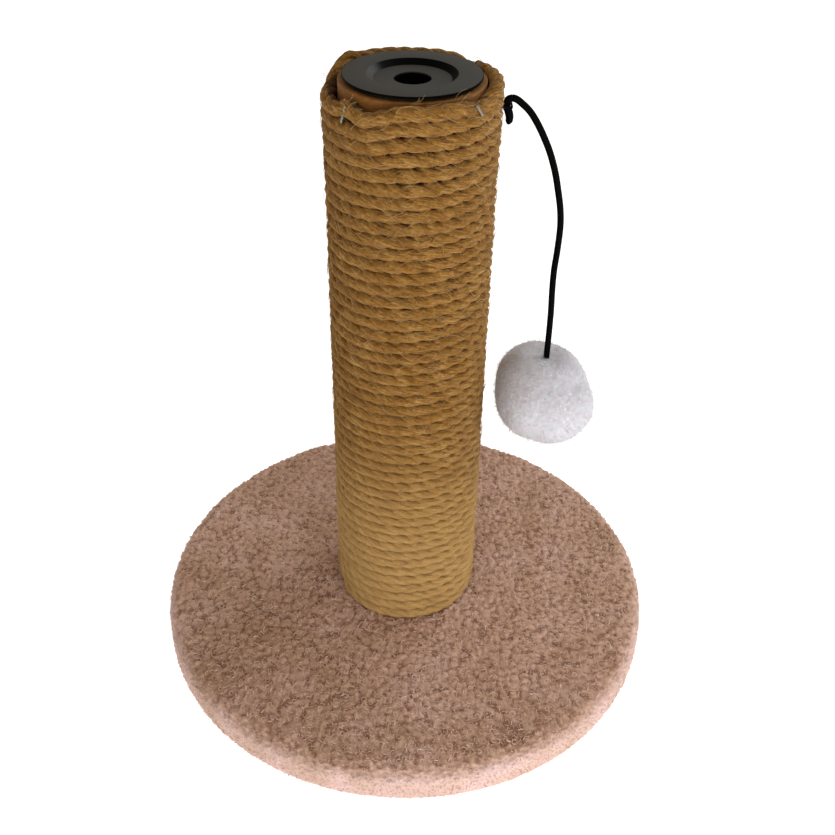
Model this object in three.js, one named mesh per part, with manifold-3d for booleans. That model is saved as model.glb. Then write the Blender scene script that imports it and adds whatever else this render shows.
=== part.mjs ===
import * as THREE from 'three';
import { mergeVertices } from 'three/addons/utils/BufferGeometryUtils.js';
import Module from 'manifold-3d';

// A cat scratching post: a round board in a plush cover, a cardboard post wound with rope,
// and a pompom that swings on a cord from the top of the post.
// Millimetres, +Z up. The origin is the middle of the base's underside; the cord leaves at +X.

const wasm = await Module();
wasm.setup();

// ---- Driving dimensions -------------------------------------------------------------------

// Fits
const seat = 0.3; // air between two pieces that rest on, in or beside one another
const boltPlay = 0.5; // a hole's radius over the bolt that passes it

// Base: board and cover
const boardRadius = 145.7;
const boardThickness = 16;
const plushThickness = 4; // on the top and round the side
const hemThickness = 2.5; // the cloth turned under the board
const hemWidth = 26;
const topEdgeRadius = 7;
const bottomEdgeRadius = 4;

// Bolt, washer and tee nut that hold the post
const boltRadius = 4;
const boltLength = 35;
const headAcrossFlats = 13;
const headHeight = 5.3;
const washerRadius = 12;
const washerThickness = 1.6;
const counterboreRadius = 14;
const counterboreDepth = 8;
const nutFlangeRadius = 12.5;
const nutFlangeThickness = 1.8;
const nutBarrelLength = 12;

// Post tube
const tubeRadius = 35;
const tubeWall = 4;
const tubeLength = 317;

// End plugs, one moulding used at both ends
const flangeOverhang = 1.9; // how much of the tube's end the flange leaves bare
const flangeThickness = 1.5;
const skirtLength = 22;
const skirtWall = 2;
const pocketRadius = 21.5;
const pocketFloorRadius = 18.5;
const pocketDepth = 2.6;
const webThickness = 2;
const boreRadius = 8.9;
const bossWall = 2.1;
const bossLength = 18;
const ribCount = 6;
const ribThickness = 1.6;
const ribDepth = 14;

// Rope winding: a pair of turns side by side, laid on as one
const ropeThickness = 7; // out from the tube
const ropePitch = 6.68; // height of one turn
const turnGap = 0.56;
const ropeEndHeight = 5; // the winding's squeezed ends, and so its step there
const ropeEndAzimuth = 160;
const ropeTopBelowFlange = 0.5;

// Staples
const wireThickness = 0.7;
const wireWidth = 1.2;
const ropeCrown = 9;
const ropeLeg = 10;
const hemCrown = 10;
const hemLeg = 8;
const hemStapleCount = 16;
const hemStapleRecess = 0.2;
const hemStapleInset = 10; // from the hem's inner edge
const cordCrown = 7.4;
const cordLeg = 14;
const cordStapleDrop = 3.1; // from the cord's axis at its root to the crown's middle

// Where each staple of the rope's end turns sits: how many turns below the rope's top edge, or
// above its foot, and its lean off upright
const topStaples = [
  { azimuth: -136.4, turnsDown: 1.3, lean: -22 },
  { azimuth: -44, turnsDown: 0.97, lean: 39 },
  { azimuth: 46, turnsDown: 1.11, lean: 12 },
  { azimuth: 134, turnsDown: 0.99, lean: -17 },
];
const bottomStaple = { azimuth: ropeEndAzimuth + 6, turnsUp: 1, lean: -10 };

// Cord
const cordRadius = 1.7;
const cordSides = 8;
const cordRootDepth = 10.8; // from the top of the cap to the cord's axis at its root
const rootBend = 2.05; // radius of the fold behind the staple
const rootRun = 0.6; // straight stretch at each side of the root, square to the joint there
const swingReach = 28.7; // out from the root to the hinge where the arch turns down
const swingDrop = 65.15; // down from the root to that hinge
const swingBallRadius = 1.5; // the drop's round top end, which turns under the arch
const archSteps = 14;
const dropSteps = 13;
const tailSteps = 12;

// Pompom
const pompomRadius = 28.6;
const dimpleRadius = 7;
const dimpleDepth = 3.6;
const knotRadius = 3.6;

// Facets round a full turn
const baseFacets = 48;
const postFacets = 36;
const smallFacets = 24;
const pompomFacets = 24;
const loopSteps = 24;

// ---- Levels and radii that follow -----------------------------------------------------------

const boardBottom = hemThickness + seat;
const boardTop = boardBottom + boardThickness;
const coverCeiling = boardTop + seat;
const baseTop = coverCeiling + plushThickness;
const coverRadius = boardRadius + seat + plushThickness;
const hemInner = coverRadius - hemWidth;

const plugFoot = baseTop + seat;
const tubeBottom = plugFoot + flangeThickness + seat;
const tubeTop = tubeBottom + tubeLength;
const capTop = tubeTop + seat + flangeThickness;
const flangeRadius = tubeRadius - flangeOverhang;
const skirtRadius = tubeRadius - tubeWall - seat;

const ropeBottom = baseTop + seat;
const ropeTop = capTop - ropeTopBelowFlange;
const ropeInner = (tubeRadius + seat) / Math.cos(Math.PI / loopSteps);
const ropeOuter = ropeInner + ropeThickness;
const ropeHeight = ropeTop - ropeBottom;
const loops = Math.round(ropeHeight / (2 * ropePitch));
const loopRise = (ropeHeight + turnGap - 2 * ropeEndHeight) / (loops - 1);

const boltSeat = boardBottom + counterboreDepth - seat - washerThickness - seat;
const nutSeat = plugFoot + bossLength + seat;

// ---- Tools ----------------------------------------------------------------------------------

const radians = THREE.MathUtils.degToRad;

function solid(geometry) {
  const bare = geometry.clone();
  bare.deleteAttribute('normal');
  bare.deleteAttribute('uv');
  const merged = mergeVertices(bare);
  const vertProperties = Float32Array.from(merged.attributes.position.array);
  const triVerts = Uint32Array.from(merged.index.array);
  return new wasm.Manifold(new wasm.Mesh({ numProp: 3, vertProperties, triVerts }));
}

function geometryOf(body) {
  const mesh = body.getMesh();
  const geometry = new THREE.BufferGeometry();
  geometry.setAttribute('position', new THREE.BufferAttribute(mesh.vertProperties, 3));
  geometry.setIndex(new THREE.BufferAttribute(mesh.triVerts, 1));
  return geometry;
}

// A profile of [radius, height] points, run anticlockwise, turned about the Z axis.
function turned(profile, facets) {
  const points = profile.map(([radius, height]) => new THREE.Vector2(radius, height));
  return new THREE.LatheGeometry(points, facets).rotateX(Math.PI / 2);
}

function closed(profile) {
  return [...profile, profile[0]];
}

function arc(centreRadius, centreHeight, radius, fromDegrees, toDegrees, steps) {
  const points = [];
  for (let i = 0; i <= steps; i++) {
    const angle = radians(fromDegrees + ((toDegrees - fromDegrees) * i) / steps);
    points.push([centreRadius + radius * Math.cos(angle), centreHeight + radius * Math.sin(angle)]);
  }
  return points;
}

// ---- Materials ------------------------------------------------------------------------------

function material(color, roughness, metalness = 0) {
  return new THREE.MeshStandardMaterial({ color, roughness, metalness });
}

const plush = material(0xb79587, 0.95);
const board = material(0xb8946a, 0.8);
const cardboard = material(0x94683a, 0.85);
const jute = material(0xa67a45, 0.9);
const plastic = material(0x3a3935, 0.55);
const steel = material(0xb9b9b5, 0.35, 1);
const blackCord = material(0x121012, 0.5);
const whitePile = material(0xe8e6ea, 0.95);

// ---- Staples --------------------------------------------------------------------------------

// The crown's outer face is at y = 0 along X, and the legs point down -Y. A clearance swells it.
function staple(crown, leg, clearance = 0) {
  const half = crown / 2 + clearance;
  const inner = crown / 2 - wireThickness - clearance;
  const crownUnderside = -wireThickness - clearance;
  const tip = -leg - clearance;
  const outline = new THREE.Shape([
    new THREE.Vector2(-half, tip),
    new THREE.Vector2(-inner, tip),
    new THREE.Vector2(-inner, crownUnderside),
    new THREE.Vector2(inner, crownUnderside),
    new THREE.Vector2(inner, tip),
    new THREE.Vector2(half, tip),
    new THREE.Vector2(half, clearance),
    new THREE.Vector2(-half, clearance),
  ]);
  const depth = wireWidth + 2 * clearance;
  return new THREE.ExtrudeGeometry(outline, { depth, bevelEnabled: false }).translate(0, 0, -depth / 2);
}

// Turns a staple's local frame so that its crown lies along one direction and its back faces another.
function stapleFrame(crownDirection, outward, position) {
  const across = new THREE.Vector3().crossVectors(crownDirection, outward);
  return new THREE.Matrix4().makeBasis(crownDirection, outward, across).setPosition(position);
}

// A staple driven into the post: upright at lean 0, and turned about its own legs by the lean.
function postStapleFrame({ azimuth, height, lean, radius }) {
  const outward = new THREE.Vector3(Math.cos(radians(azimuth)), Math.sin(radians(azimuth)), 0);
  const crown = new THREE.Vector3(0, 0, 1).applyAxisAngle(outward, radians(lean));
  const position = outward.clone().multiplyScalar(radius);
  position.z = height;
  return stapleFrame(crown, outward, position);
}

function stapleSet() {
  const set = [];
  for (let i = 0; i < hemStapleCount; i++) {
    const azimuth = (2 * Math.PI * (i + 0.5)) / hemStapleCount;
    const radial = new THREE.Vector3(Math.cos(azimuth), Math.sin(azimuth), 0);
    const along = new THREE.Vector3(-radial.y, radial.x, 0);
    const position = radial.multiplyScalar(hemInner + hemStapleInset).setZ(hemStapleRecess);
    const frame = stapleFrame(along, new THREE.Vector3(0, 0, -1), position);
    set.push({ name: `hem_staple_${String(i + 1).padStart(2, '0')}`, crown: hemCrown, leg: hemLeg, frame });
  }
  topStaples.forEach(({ azimuth, turnsDown, lean }, i) => {
    const height = ropeTop - turnsDown * ropePitch;
    const frame = postStapleFrame({ azimuth, height, lean, radius: ropeOuter });
    set.push({ name: `rope_top_staple_${i + 1}`, crown: ropeCrown, leg: ropeLeg, frame });
  });
  const { azimuth, turnsUp, lean } = bottomStaple;
  const height = ropeBottom + turnsUp * ropePitch;
  const bottomFrame = postStapleFrame({ azimuth, height, lean, radius: ropeOuter });
  set.push({ name: 'rope_bottom_staple', crown: ropeCrown, leg: ropeLeg, frame: bottomFrame });
  const crownRadius = tailAxis + cordRadius + seat + wireThickness;
  const cordSeat = { azimuth: 0, height: rootHeight - cordStapleDrop, lean: 90, radius: crownRadius };
  const cordFrame = postStapleFrame(cordSeat);
  set.push({ name: 'cord_staple', crown: cordCrown, leg: cordLeg, frame: cordFrame });
  return set;
}

function withoutStaples(body, staples) {
  let cut = body;
  for (const { crown, leg, frame } of staples) {
    cut = cut.subtract(solid(staple(crown, leg, seat).applyMatrix4(frame)));
  }
  return cut;
}

// ---- Base -----------------------------------------------------------------------------------

function boardBody() {
  return solid(turned(closed([
    [counterboreRadius, boardBottom],
    [boardRadius, boardBottom],
    [boardRadius, boardTop],
    [boltRadius + boltPlay, boardTop],
    [boltRadius + boltPlay, boardBottom + counterboreDepth],
    [counterboreRadius, boardBottom + counterboreDepth],
  ]), baseFacets));
}

function coverBody() {
  const lowArc = arc(coverRadius - bottomEdgeRadius, bottomEdgeRadius, bottomEdgeRadius, -90, 0, 2);
  const highArc = arc(coverRadius - topEdgeRadius, baseTop - topEdgeRadius, topEdgeRadius, 0, 90, 4);
  return solid(turned(closed([
    [hemInner, 0],
    ...lowArc,
    ...highArc,
    [boltRadius + boltPlay, baseTop],
    [boltRadius + boltPlay, coverCeiling],
    [boardRadius + seat, coverCeiling],
    [boardRadius + seat, hemThickness],
    [hemInner, hemThickness],
  ]), baseFacets));
}

// ---- Bolt, washer and tee nut ---------------------------------------------------------------

function cylinder(radius, bottom, top, facets) {
  const height = top - bottom;
  return new THREE.CylinderGeometry(radius, radius, height, facets)
    .rotateX(Math.PI / 2)
    .translate(0, 0, (bottom + top) / 2);
}

function boltBody() {
  const corner = headAcrossFlats / 2 / Math.cos(Math.PI / 6);
  const head = solid(cylinder(corner, boltSeat - headHeight, boltSeat, 6));
  return head.add(solid(cylinder(boltRadius, boltSeat - headHeight / 2, boltSeat + boltLength, smallFacets)));
}

function washer() {
  return turned(closed([
    [boltRadius + seat, boltSeat + seat],
    [washerRadius, boltSeat + seat],
    [washerRadius, boltSeat + seat + washerThickness],
    [boltRadius + seat, boltSeat + seat + washerThickness],
  ]), smallFacets);
}

function teeNut() {
  return turned(closed([
    [boltRadius + seat, nutSeat - nutBarrelLength],
    [boreRadius - seat, nutSeat - nutBarrelLength],
    [boreRadius - seat, nutSeat],
    [nutFlangeRadius, nutSeat],
    [nutFlangeRadius, nutSeat + nutFlangeThickness],
    [boltRadius + seat, nutSeat + nutFlangeThickness],
  ]), smallFacets);
}

// ---- Post -----------------------------------------------------------------------------------

function tubeBody() {
  return solid(turned(closed([
    [tubeRadius - tubeWall, tubeBottom],
    [tubeRadius, tubeBottom],
    [tubeRadius, tubeTop],
    [tubeRadius - tubeWall, tubeTop],
  ]), postFacets));
}

// The outer face of the flange is at height 0 and the skirt reaches down into the tube.
function plug() {
  const bossRadius = boreRadius + bossWall;
  const skirtInner = skirtRadius - skirtWall;
  let body = solid(turned(closed([
    [boreRadius, -bossLength],
    [bossRadius, -bossLength],
    [bossRadius, -pocketDepth - webThickness],
    [pocketFloorRadius + webThickness, -pocketDepth - webThickness],
    [pocketRadius + webThickness, -webThickness],
    [skirtInner, -webThickness],
    [skirtInner, -skirtLength],
    [skirtRadius, -skirtLength],
    [skirtRadius, -flangeThickness],
    [flangeRadius, -flangeThickness],
    [flangeRadius, 0],
    [pocketRadius, 0],
    [pocketFloorRadius, -pocketDepth],
    [boreRadius, -pocketDepth],
  ]), postFacets));
  for (let i = 0; i < ribCount; i++) {
    body = body.add(solid(plugRib().rotateZ((2 * Math.PI * (i + 0.5)) / ribCount)));
  }
  return geometryOf(body);
}

// A web from the boss to the skirt, whose top is buried in the plug's floor and flange.
function plugRib() {
  const inner = boreRadius + bossWall / 2;
  const outer = skirtRadius - skirtWall / 2;
  const buried = webThickness / 2;
  const outline = new THREE.Shape([
    new THREE.Vector2(inner, -ribDepth),
    new THREE.Vector2(outer, -ribDepth),
    new THREE.Vector2(outer, -buried),
    new THREE.Vector2(pocketRadius + buried, -buried),
    new THREE.Vector2(pocketFloorRadius + buried, -pocketDepth - buried),
    new THREE.Vector2(inner, -pocketDepth - buried),
  ]);
  return new THREE.ExtrudeGeometry(outline, { depth: ribThickness, bevelEnabled: false })
    .translate(0, 0, -ribThickness / 2)
    .rotateX(Math.PI / 2);
}

// ---- Rope -----------------------------------------------------------------------------------

// How far the winding's edge has moved from its end face after a number of loops.
function edgeRise(loop) {
  return loop < 1 ? ropeEndHeight * loop : ropeEndHeight + loopRise * (loop - 1);
}

// The section of the doubled rope after a number of loops. Over the first and the last loop it
// grows from its squeezed end and shrinks back to it, so both ends of the winding lie level.
function ropeSection(loop) {
  const low = ropeBottom + edgeRise(loop);
  const high = ropeTop - edgeRise(loops - loop);
  const height = high - low;
  const valley = ropeInner + ropeThickness / 2;
  return [
    [ropeInner, low],
    [valley, low],
    [ropeOuter, low + height / 4],
    [valley, low + height / 2],
    [ropeOuter, high - height / 4],
    [ropeInner, high],
  ];
}

function ropeRings() {
  const rings = [];
  for (let step = 0; step <= loops * loopSteps; step++) {
    const azimuth = radians(ropeEndAzimuth) + (2 * Math.PI * step) / loopSteps;
    rings.push(ropeSection(step / loopSteps).map(([radius, height]) =>
      new THREE.Vector3(radius * Math.cos(azimuth), radius * Math.sin(azimuth), height)));
  }
  return rings;
}

function leastTurnGap(rings) {
  let least = Infinity;
  for (let i = 0; i + loopSteps < rings.length; i++) {
    for (const below of rings[i]) {
      for (const above of rings[i + loopSteps]) {
        least = Math.min(least, below.distanceTo(above));
      }
    }
  }
  return least;
}

function ropeBody() {
  const rings = ropeRings();
  console.log(`rope winding: ${loops} loops, least gap to itself ${leastTurnGap(rings).toFixed(2)} mm`);
  const sides = rings[0].length;
  const last = (rings.length - 1) * sides;
  const valley = 3; // the one corner from which a whole end face can be seen
  const index = [];
  for (let i = 0; i + 1 < rings.length; i++) {
    for (let side = 0; side < sides; side++) {
      const here = i * sides + side;
      const beside = i * sides + ((side + 1) % sides);
      index.push(here, beside + sides, beside, here, here + sides, beside + sides);
    }
  }
  for (let k = 1; k < sides - 1; k++) {
    const one = (valley + k) % sides;
    const two = (valley + k + 1) % sides;
    index.push(valley, one, two, last + valley, last + two, last + one);
  }
  const geometry = new THREE.BufferGeometry().setFromPoints(rings.flat());
  geometry.setIndex(index);
  return solid(geometry);
}

// ---- Cord and pompom ------------------------------------------------------------------------

const rootHeight = capTop - cordRootDepth;
const tailAxis = ropeOuter + seat + cordRadius;
const rootX = tailAxis + rootBend + rootRun;

// Points [x, z] of the cord's axis in the plane y = 0, measured out and up from its root.
const archRoute = [
  [seat, 0], [seat + rootRun, 0], [2.4, -0.8], [4.4, -2.3], [8.5, -6.1], [12.8, -12.3],
  [16.8, -19.7], [19.8, -26.2], [23.2, -35.9], [25.8, -46.4], [27.8, -56.2],
  [swingReach, swingBallRadius + seat - swingDrop],
];
const dropRoute = [
  [swingReach, -swingDrop], [28.5, -78.9], [27.9, -90.5], [28, -102.4], [28.5, -114.6],
  [28.7, -127.1], [28.7, -139.2], [28.7, -163.9],
];
const tailRoute = [[-2.6, -4], [-2, -5.8], [-1.2, -9.6], [-1.5, -12.6]];

function routeCurve(points) {
  return new THREE.CatmullRomCurve3(points.map(([x, z]) => new THREE.Vector3(rootX + x, 0, rootHeight + z)));
}

function cordTube(points, steps) {
  const corners = [];
  for (let i = 0; i < cordSides; i++) {
    const angle = (2 * Math.PI * (i + 0.5)) / cordSides;
    corners.push(new THREE.Vector2(cordRadius * Math.cos(angle), cordRadius * Math.sin(angle)));
  }
  const extrudePath = routeCurve(points);
  return new THREE.ExtrudeGeometry(new THREE.Shape(corners), { steps, extrudePath });
}

// The cord's fixed end: it folds down behind the staple and its cut end hangs free.
function cordTail() {
  const fold = arc(-rootRun, -rootBend, rootBend, 90, 180, 4);
  return cordTube([[0, 0], ...fold, ...tailRoute], tailSteps);
}

function cordArch() {
  return cordTube(archRoute, archSteps);
}

// The drop's top end is a ball round its hinge, so that it turns clear of the arch.
function cordDrop() {
  const ball = new THREE.IcosahedronGeometry(swingBallRadius, 1)
    .translate(rootX + swingReach, 0, rootHeight - swingDrop);
  return solid(cordTube(dropRoute, dropSteps)).add(solid(ball));
}

const dropEnd = dropRoute[dropRoute.length - 1];
const knotCentre = new THREE.Vector3(rootX + dropEnd[0], 0, rootHeight + dropEnd[1] - seat - knotRadius);

function knot() {
  return new THREE.IcosahedronGeometry(knotRadius, 1).translate(knotCentre.x, knotCentre.y, knotCentre.z);
}

// The ball of pile, with a dimple at its top, the cord's bore and the chamber round the knot.
function pompom() {
  const bore = cordRadius + seat;
  const chamber = knotRadius + seat;
  const shoulder = THREE.MathUtils.radToDeg(Math.acos(dimpleRadius / pompomRadius));
  const chamberMouth = THREE.MathUtils.radToDeg(Math.acos(bore / chamber));
  const outside = arc(0, 0, pompomRadius, -90, shoulder, 11);
  outside[0][0] = 0;
  const inside = arc(0, 0, chamber, chamberMouth, -90, 4);
  inside[inside.length - 1][0] = 0;
  const dimpleFloor = pompomRadius * Math.sin(radians(shoulder)) - dimpleDepth;
  return turned([...outside, [bore, dimpleFloor], ...inside], pompomFacets)
    .translate(knotCentre.x, knotCentre.y, knotCentre.z);
}

// ---- The object -----------------------------------------------------------------------------

const post = new THREE.Group();

function add(name, geometry, finish) {
  const mesh = new THREE.Mesh(geometry, finish);
  mesh.name = name;
  post.add(mesh);
  return mesh;
}

const staples = stapleSet();
const hemStaples = staples.filter(({ name }) => name.startsWith('hem'));
const postStaples = staples.filter(({ name }) => !name.startsWith('hem'));

add('base_board', geometryOf(withoutStaples(boardBody(), hemStaples)), board);
add('base_cover', geometryOf(withoutStaples(coverBody(), hemStaples)), plush);
add('base_bolt', geometryOf(boltBody()), steel);
add('base_washer', washer(), steel);
add('bottom_plug', plug().rotateX(Math.PI), plastic).position.z = plugFoot;
add('bottom_plug_nut', teeNut(), steel);
add('post_tube', geometryOf(withoutStaples(tubeBody(), postStaples)), cardboard);
add('top_plug', plug(), plastic).position.z = capTop;
add('rope_winding', geometryOf(withoutStaples(ropeBody(), postStaples)), jute);
for (const { name, crown, leg, frame } of staples) {
  add(name, staple(crown, leg).applyMatrix4(frame), steel);
}
add('cord_tail', cordTail(), blackCord);
add('cord_arch', cordArch(), blackCord);
add('cord_drop', geometryOf(cordDrop()), blackCord);
add('cord_knot', knot(), blackCord);
add('pompom', pompom(), whitePile);

export default post;
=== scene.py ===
"""A cat scratching post: plush-covered base, rope-wound post and a pompom on a cord."""

import math

import bmesh
import bpy
import numpy as np
from mathutils import Matrix, Vector


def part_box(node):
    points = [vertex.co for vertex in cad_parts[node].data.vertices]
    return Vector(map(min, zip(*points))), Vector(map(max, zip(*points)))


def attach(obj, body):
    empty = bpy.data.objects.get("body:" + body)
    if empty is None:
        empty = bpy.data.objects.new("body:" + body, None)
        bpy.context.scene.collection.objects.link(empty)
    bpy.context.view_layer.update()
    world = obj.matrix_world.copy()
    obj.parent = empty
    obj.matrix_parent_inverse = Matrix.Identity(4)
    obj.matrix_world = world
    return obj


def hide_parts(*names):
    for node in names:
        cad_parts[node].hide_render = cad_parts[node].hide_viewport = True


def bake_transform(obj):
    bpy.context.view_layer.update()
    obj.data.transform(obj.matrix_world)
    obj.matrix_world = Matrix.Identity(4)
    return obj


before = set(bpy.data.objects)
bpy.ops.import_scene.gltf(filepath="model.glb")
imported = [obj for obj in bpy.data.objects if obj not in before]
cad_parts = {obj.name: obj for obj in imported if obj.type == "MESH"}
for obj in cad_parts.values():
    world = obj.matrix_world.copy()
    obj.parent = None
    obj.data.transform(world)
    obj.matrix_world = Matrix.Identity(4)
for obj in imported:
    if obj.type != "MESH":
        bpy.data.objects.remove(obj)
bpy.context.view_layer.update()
scene = bpy.context.scene

# ---- Camera --------------------------------------------------------------------------------
# A hand-held view from the front, looking down at the base with a slight roll.
camera_place = Vector((0, -0.48636, 0.50481))
camera_turn = 0.011253
camera_dip = 0.635695
camera_roll = 0.020038
ahead = Vector((math.sin(camera_turn) * math.cos(camera_dip),
                math.cos(camera_turn) * math.cos(camera_dip), -math.sin(camera_dip)))
level_right = ahead.cross(Vector((0, 0, 1))).normalized()
level_up = level_right.cross(ahead)
camera_right = level_right * math.cos(camera_roll) + level_up * math.sin(camera_roll)
camera_up = level_up * math.cos(camera_roll) - level_right * math.sin(camera_roll)
camera = bpy.data.objects.new("camera", bpy.data.cameras.new("camera"))
camera.data.sensor_width = 36
camera.data.lens = 45.28
camera.data.clip_start = 0.01
camera.matrix_world = Matrix((camera_right, camera_up, -ahead)).transposed().to_4x4()
camera.matrix_world.translation = camera_place
scene.collection.objects.link(camera)
scene.camera = camera

# ---- Cord ----------------------------------------------------------------------------------
# A round elastic cord in a smooth black sleeve. It springs out of the post in an arch and hangs
# down into the pompom, where a knot holds it.
cord_root = Vector((0.047255, 0, 0.3332))
cord_radius = 0.0017
cord_sides = 20
cord_step = 0.001
# Points (x, z) from the root, the same route as the solid's.
cord_route = [
    (0, 0), (0.0006, 0), (0.0024, -0.0008), (0.0044, -0.0023), (0.0085, -0.0061), (0.0128, -0.0123),
    (0.0168, -0.0197), (0.0198, -0.0262), (0.0232, -0.0359), (0.0258, -0.0464), (0.0278, -0.0562),
    (0.0287, -0.06515), (0.0285, -0.0789), (0.0279, -0.0905), (0.0280, -0.1024), (0.0285, -0.1146),
    (0.0287, -0.1271), (0.0287, -0.1392), (0.0287, -0.1636),
]


def smooth_line(points, step):
    """Points about a step apart on a centripetal spline through the given ones."""
    given = np.array(points, float)
    padded = np.vstack([2 * given[0] - given[1], given, 2 * given[-1] - given[-2]])
    line = [given[0]]
    for i in range(len(given) - 1):
        p0, p1, p2, p3 = padded[i:i + 4]
        t1 = np.linalg.norm(p1 - p0) ** 0.5
        t2 = t1 + np.linalg.norm(p2 - p1) ** 0.5
        t3 = t2 + np.linalg.norm(p3 - p2) ** 0.5
        count = max(1, round(np.linalg.norm(p2 - p1) / step))
        for t in t1 + (t2 - t1) * np.arange(1, count + 1) / count:
            a1 = (t1 - t) / t1 * p0 + t / t1 * p1
            a2 = (t2 - t) / (t2 - t1) * p1 + (t - t1) / (t2 - t1) * p2
            a3 = (t3 - t) / (t3 - t2) * p2 + (t - t2) / (t3 - t2) * p3
            b1 = (t2 - t) / t2 * a1 + t / t2 * a2
            b2 = (t3 - t) / (t3 - t1) * a2 + (t - t1) / (t3 - t1) * a3
            line.append((t2 - t) / (t2 - t1) * b1 + (t - t1) / (t2 - t1) * b2)
    return np.array(line)


def object_of(name, vertices, faces):
    """A smooth-shaded mesh object with its place in its mesh."""
    mesh = bpy.data.meshes.new(name)
    mesh.from_pydata([tuple(v) for v in vertices], [], faces)
    mesh.update()
    mesh.shade_smooth()
    made = bpy.data.objects.new(name, mesh)
    scene.collection.objects.link(made)
    return made


def bands(rings, sides, closed=False):
    """Four-cornered faces between each ring of points and the next."""
    faces = []
    for i in range(rings if closed else rings - 1):
        low, high = i * sides, (i + 1) % rings * sides
        for j in range(sides):
            beyond = (j + 1) % sides
            faces.append((low + j, low + beyond, high + beyond, high + j))
    return faces


def swept(name, line, radii, sides):
    """A closed tube along a line in the plane y = 0, with a UV map that runs along and around it."""
    line = np.array(line, float)
    radii = np.broadcast_to(radii, len(line))
    ahead_of = np.gradient(line, axis=0)
    ahead_of /= np.linalg.norm(ahead_of, axis=1)[:, None]
    across = np.array([0.0, 1.0, 0.0])
    beside = np.cross(ahead_of, across)
    turn = 2 * np.pi * np.arange(sides) / sides
    ring = np.cos(turn)[None, :, None] * across + np.sin(turn)[None, :, None] * beside[:, None, :]
    vertices = (line[:, None, :] + ring * radii[:, None, None]).reshape(-1, 3)
    rows = len(line)
    faces = bands(rows, sides)
    faces.append(tuple(range(sides))[::-1])
    faces.append(tuple((rows - 1) * sides + j for j in range(sides)))
    made = object_of(name, vertices, faces)
    run = np.concatenate([[0], np.cumsum(np.linalg.norm(np.diff(line, axis=0), axis=1))])
    map_of = made.data.uv_layers.new(name="run")
    for i in range(rows - 1):
        for j in range(sides):
            face = made.data.polygons[i * sides + j]
            corners = ((run[i], j), (run[i], j + 1), (run[i + 1], j + 1), (run[i + 1], j))
            for loop, (along, around) in zip(face.loop_indices, corners):
                map_of.data[loop].uv = (along / 0.01, around / sides)
    return made


def node(tree, kind, feeds=None, **settings):
    """Adds a node, sets what it is and joins or fills its sockets."""
    made = tree.nodes.new(kind)
    for name, value in settings.items():
        setattr(made, name, value)
    for socket, value in (feeds or {}).items():
        if isinstance(value, bpy.types.NodeSocket):
            tree.links.new(value, made.inputs[socket])
        else:
            made.inputs[socket].default_value = value
    return made


def surface(name, **sockets):
    """A material with its tree and its one shader, whose constants are set on its own sockets."""
    material = bpy.data.materials.new(name)
    material.use_nodes = True
    tree = material.node_tree
    tree.nodes.clear()
    shader = node(tree, "ShaderNodeBsdfPrincipled")
    for socket, value in sockets.items():
        shader.inputs[socket.replace("_", " ")].default_value = value
    out = node(tree, "ShaderNodeOutputMaterial", {"Surface": shader.outputs[0]})
    out.is_active_output = True
    return material, tree, shader


def ramp(tree, value, *stops):
    """Colours between places from 0 to 1."""
    made = node(tree, "ShaderNodeValToRGB", {0: value})
    while len(made.color_ramp.elements) < len(stops):
        made.color_ramp.elements.new(0.5)
    for element, (place, colour) in zip(made.color_ramp.elements, stops):
        element.position = place
        element.color = (*colour, 1)
    return made.outputs["Color"]


def grain(tree, place, scale, detail=3, roughness=0.55, **more):
    """Noise of about so many grains a unit."""
    feeds = {"Vector": place, "Scale": scale, "Detail": detail, "Roughness": roughness, **more}
    return node(tree, "ShaderNodeTexNoise", feeds).outputs[0]


def drawn_out(tree, place, scale, rotation=(0, 0, 0)):
    """A place turned and stretched, so that a grain becomes streaks."""
    feeds = {"Vector": place, "Scale": scale, "Rotation": rotation}
    return node(tree, "ShaderNodeMapping", feeds).outputs[0]


def colour_with(tree, shader, colour):
    tree.links.new(colour, shader.inputs["Base Color"])


def bumped(tree, shader, height, depth, strength=1.0):
    made = node(tree, "ShaderNodeBump", {"Height": height, "Distance": depth, "Strength": strength})
    tree.links.new(made.outputs[0], shader.inputs["Normal"])


def black_sleeve():
    """Matte black braid, its threads running slantwise round the cord."""
    material, tree, shader = surface("black_sleeve", Roughness=0.6, Specular_IOR_Level=0.03)
    place = node(tree, "ShaderNodeUVMap", uv_map="run").outputs[0]
    threads = grain(tree, drawn_out(tree, place, (6, 28, 1), (0, 0, 0.5)), 1.0)
    colour_with(tree, shader, ramp(tree, threads, (0.35, (0.0004, 0.0004, 0.0004)),
                                   (0.75, (0.0015, 0.0013, 0.0015))))
    bumped(tree, shader, threads, 0.00008)
    return material


cord_line = smooth_line([(cord_root.x + x, 0, cord_root.z + z) for x, z in cord_route], cord_step)
cord = swept("cord", cord_line, cord_radius, cord_sides)
cord.data.materials.append(black_sleeve())
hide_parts("cord_arch", "cord_drop")
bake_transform(cord)

# ---- Base board, bolt and staples under the base -------------------------------------------
# A round of raw fibreboard, 16 mm thick, drilled for the one bolt that holds the post. The bolt,
# its washer, the tee nut and the staples are bright zinc-plated steel.


def object_place(tree):
    """Where a point lies in its own object, for patterns that stay with the piece."""
    return node(tree, "ShaderNodeTexCoord").outputs["Object"]


def maths(tree, operation, *values):
    return node(tree, "ShaderNodeMath", dict(enumerate(values)), operation=operation).outputs[0]


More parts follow.
